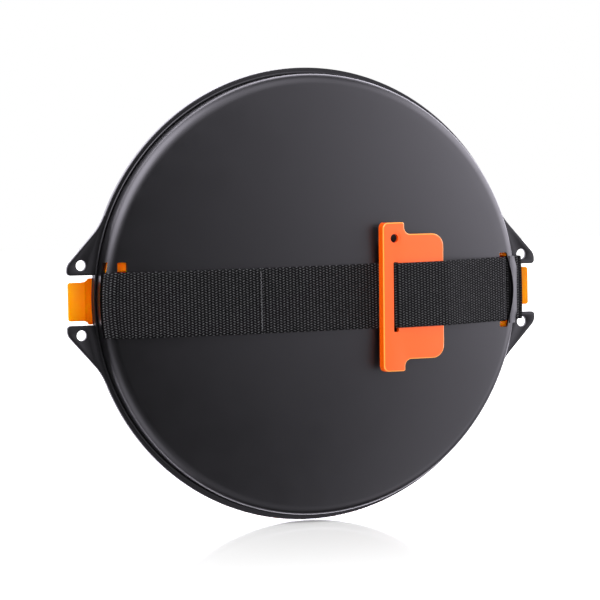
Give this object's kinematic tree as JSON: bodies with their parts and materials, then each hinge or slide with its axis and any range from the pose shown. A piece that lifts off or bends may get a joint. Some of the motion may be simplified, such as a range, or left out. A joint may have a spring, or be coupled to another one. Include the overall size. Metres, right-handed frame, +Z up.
{
  "type": "paint tray",
  "caption": "Round hand-held paint tray: domed back shell, rim ring with slotted ears, lift-out pan, webbing hand strap and slide plate.",
  "frame": {"origin": "crown of the domed back, where the palm rests", "axes": "+Y through the tray to its open front, +X to the slide plate's side, +Z up"},
  "size_m": [0.2944, 0.0477, 0.267],
  "materials": {
    "shell": "satin moulded, polished shoulder and rim",
    "ring": "satin moulded",
    "pan": "smooth moulded",
    "plate": "satin moulded",
    "webbing": "plain woven strap",
    "thread": "twisted thread"
  },
  "bodies": {
    "tray": {"back_shell": "shell", "rim_ring": "ring", "strap_loop": "webbing", "strap_left_run": "webbing", "strap_right_run": "webbing", "strap_hem": "webbing", "lap_stitching": "thread", "hem_stitching": "thread"},
    "pan": {"paint_pan": "pan"},
    "slider": {"strap_slider": "plate", "strap_bend": "webbing"}
  },
  "joints": [
    {"name": "pan_lift", "type": "slide", "parent": "tray", "child": "pan", "axis": [0, 1, 0], "range_m": [0, 0.045]},
    {"name": "slider_travel", "type": "hinge", "parent": "tray", "child": "slider", "pos_m": [0, 0.49875, -0.00093], "axis": [-0.0138, 0, 0.9999], "range_deg": [-6.9, 3.4], "deforming": ["strap_left_run", "strap_right_run"]}
  ]
}
